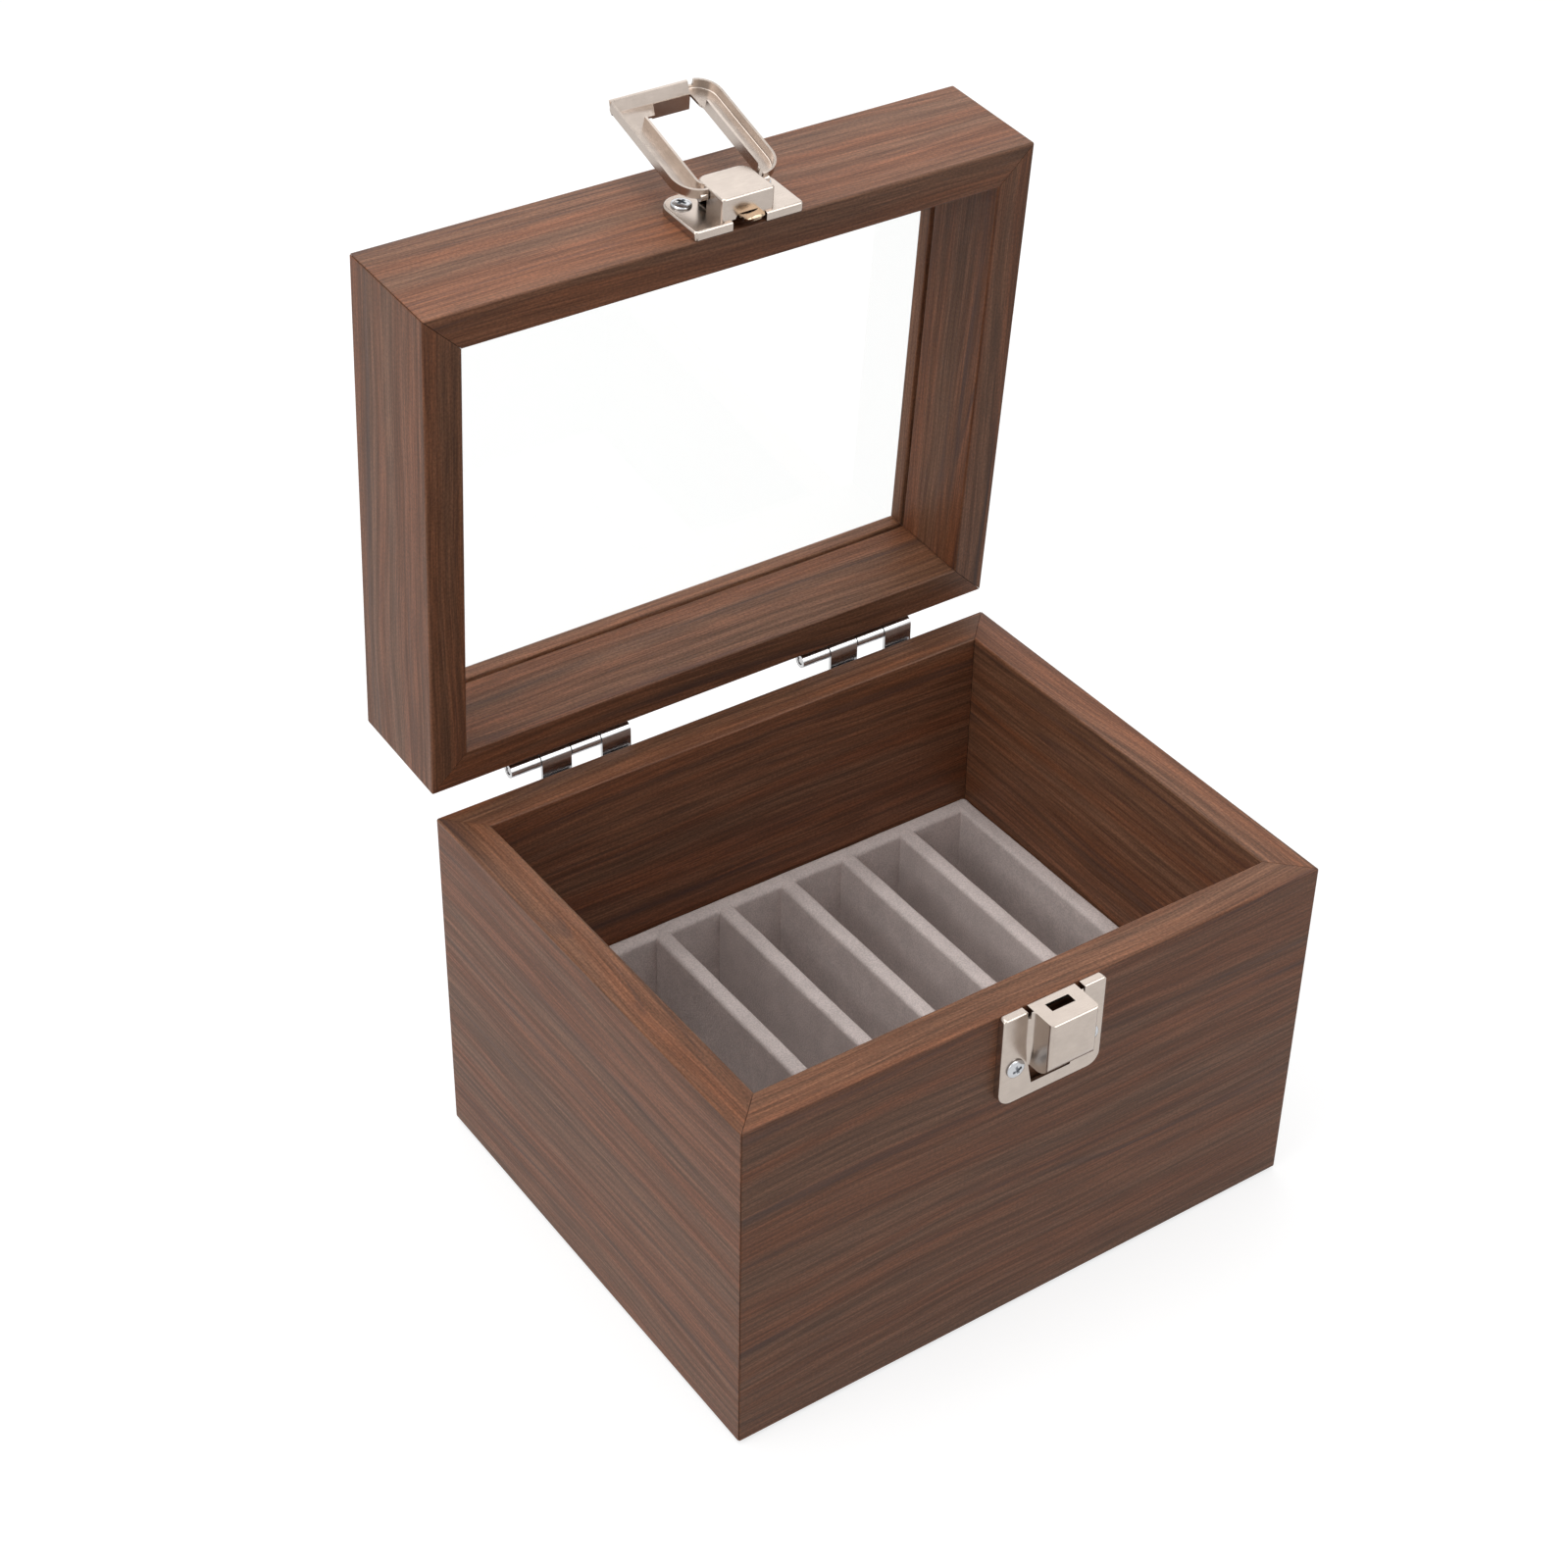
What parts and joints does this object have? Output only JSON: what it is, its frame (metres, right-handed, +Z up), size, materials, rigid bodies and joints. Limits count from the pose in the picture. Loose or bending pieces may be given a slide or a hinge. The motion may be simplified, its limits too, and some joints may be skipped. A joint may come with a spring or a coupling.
{
  "type": "ring display box",
  "caption": "Wooden box with a glazed lid on two butt hinges, a bail clasp on the front and a removable velvet tray of parallel slots for rings.",
  "frame": {"origin": "centre of the underside, on the surface the box stands on", "axes": "+Z up, +X to the right seen from the clasp side, -Y towards the clasp, +Y towards the hinges"},
  "size_m": [0.14, 0.1484, 0.2166],
  "materials": {
    "walnut_veneer": "satin walnut foil",
    "grey_velvet": "flocked velvet",
    "black_felt": "matte felt",
    "clear_glass": "clear polished",
    "satin_nickel": "satin nickel plate",
    "bright_hinge": "bright plate",
    "zinc_screw": "bright zinc",
    "spring_strip": "spring steel"
  },
  "bodies": {
    "base": {"base_front_wall": "walnut_veneer", "base_rear_wall": "walnut_veneer", "base_left_wall": "walnut_veneer", "base_right_wall": "walnut_veneer", "base_bottom_board": "walnut_veneer", "base_felt": "black_felt", "tray_floor": "grey_velvet", "tray_front_rail": "grey_velvet", "tray_rear_rail": "grey_velvet", "tray_left_rail": "grey_velvet", "tray_right_rail": "grey_velvet", "tray_divider_1": "grey_velvet", "tray_divider_2": "grey_velvet", "tray_divider_3": "grey_velvet", "tray_divider_4": "grey_velvet", "tray_divider_5": "grey_velvet", "tray_divider_6": "grey_velvet", "left_hinge_base_leaf": "bright_hinge", "right_hinge_base_leaf": "bright_hinge", "left_hinge_pin": "bright_hinge", "right_hinge_pin": "bright_hinge", "hinge_base_screws": "zinc_screw", "keeper_plate": "satin_nickel", "keeper_screws": "zinc_screw"},
    "lid": {"left_hinge_lid_leaf": "bright_hinge", "right_hinge_lid_leaf": "bright_hinge", "hinge_lid_screws": "zinc_screw", "lid_front_rail": "walnut_veneer", "lid_rear_rail": "walnut_veneer", "lid_left_rail": "walnut_veneer", "lid_right_rail": "walnut_veneer", "lid_pane": "clear_glass", "catch_plate": "satin_nickel", "catch_screws": "zinc_screw", "clasp_hook_pin": "zinc_screw", "clasp_hook_spring": "spring_strip"},
    "bail": {"clasp_bail": "satin_nickel"},
    "hook": {"clasp_hook": "satin_nickel"}
  },
  "joints": [
    {"name": "lid_hinge", "type": "hinge", "parent": "base", "child": "lid", "pos_m": [0, 0.059, 0.0856], "axis": [1, 0, 0], "range_deg": [0, 85.7]},
    {"name": "bail_swing", "type": "hinge", "parent": "lid", "child": "bail", "pos_m": [0.001, 0.05437, 0.20579], "axis": [1, 0, 0], "range_deg": [0, 165.6]},
    {"name": "hook_swing", "type": "hinge", "parent": "lid", "child": "hook", "pos_m": [0.001, 0.05609, 0.20432], "axis": [1, 0, 0], "range_deg": [-6, 0]}
  ],
  "couplings": [
    {"joint": "hook_swing", "follows": "bail_swing", "ratio": -0.0362}
  ]
}
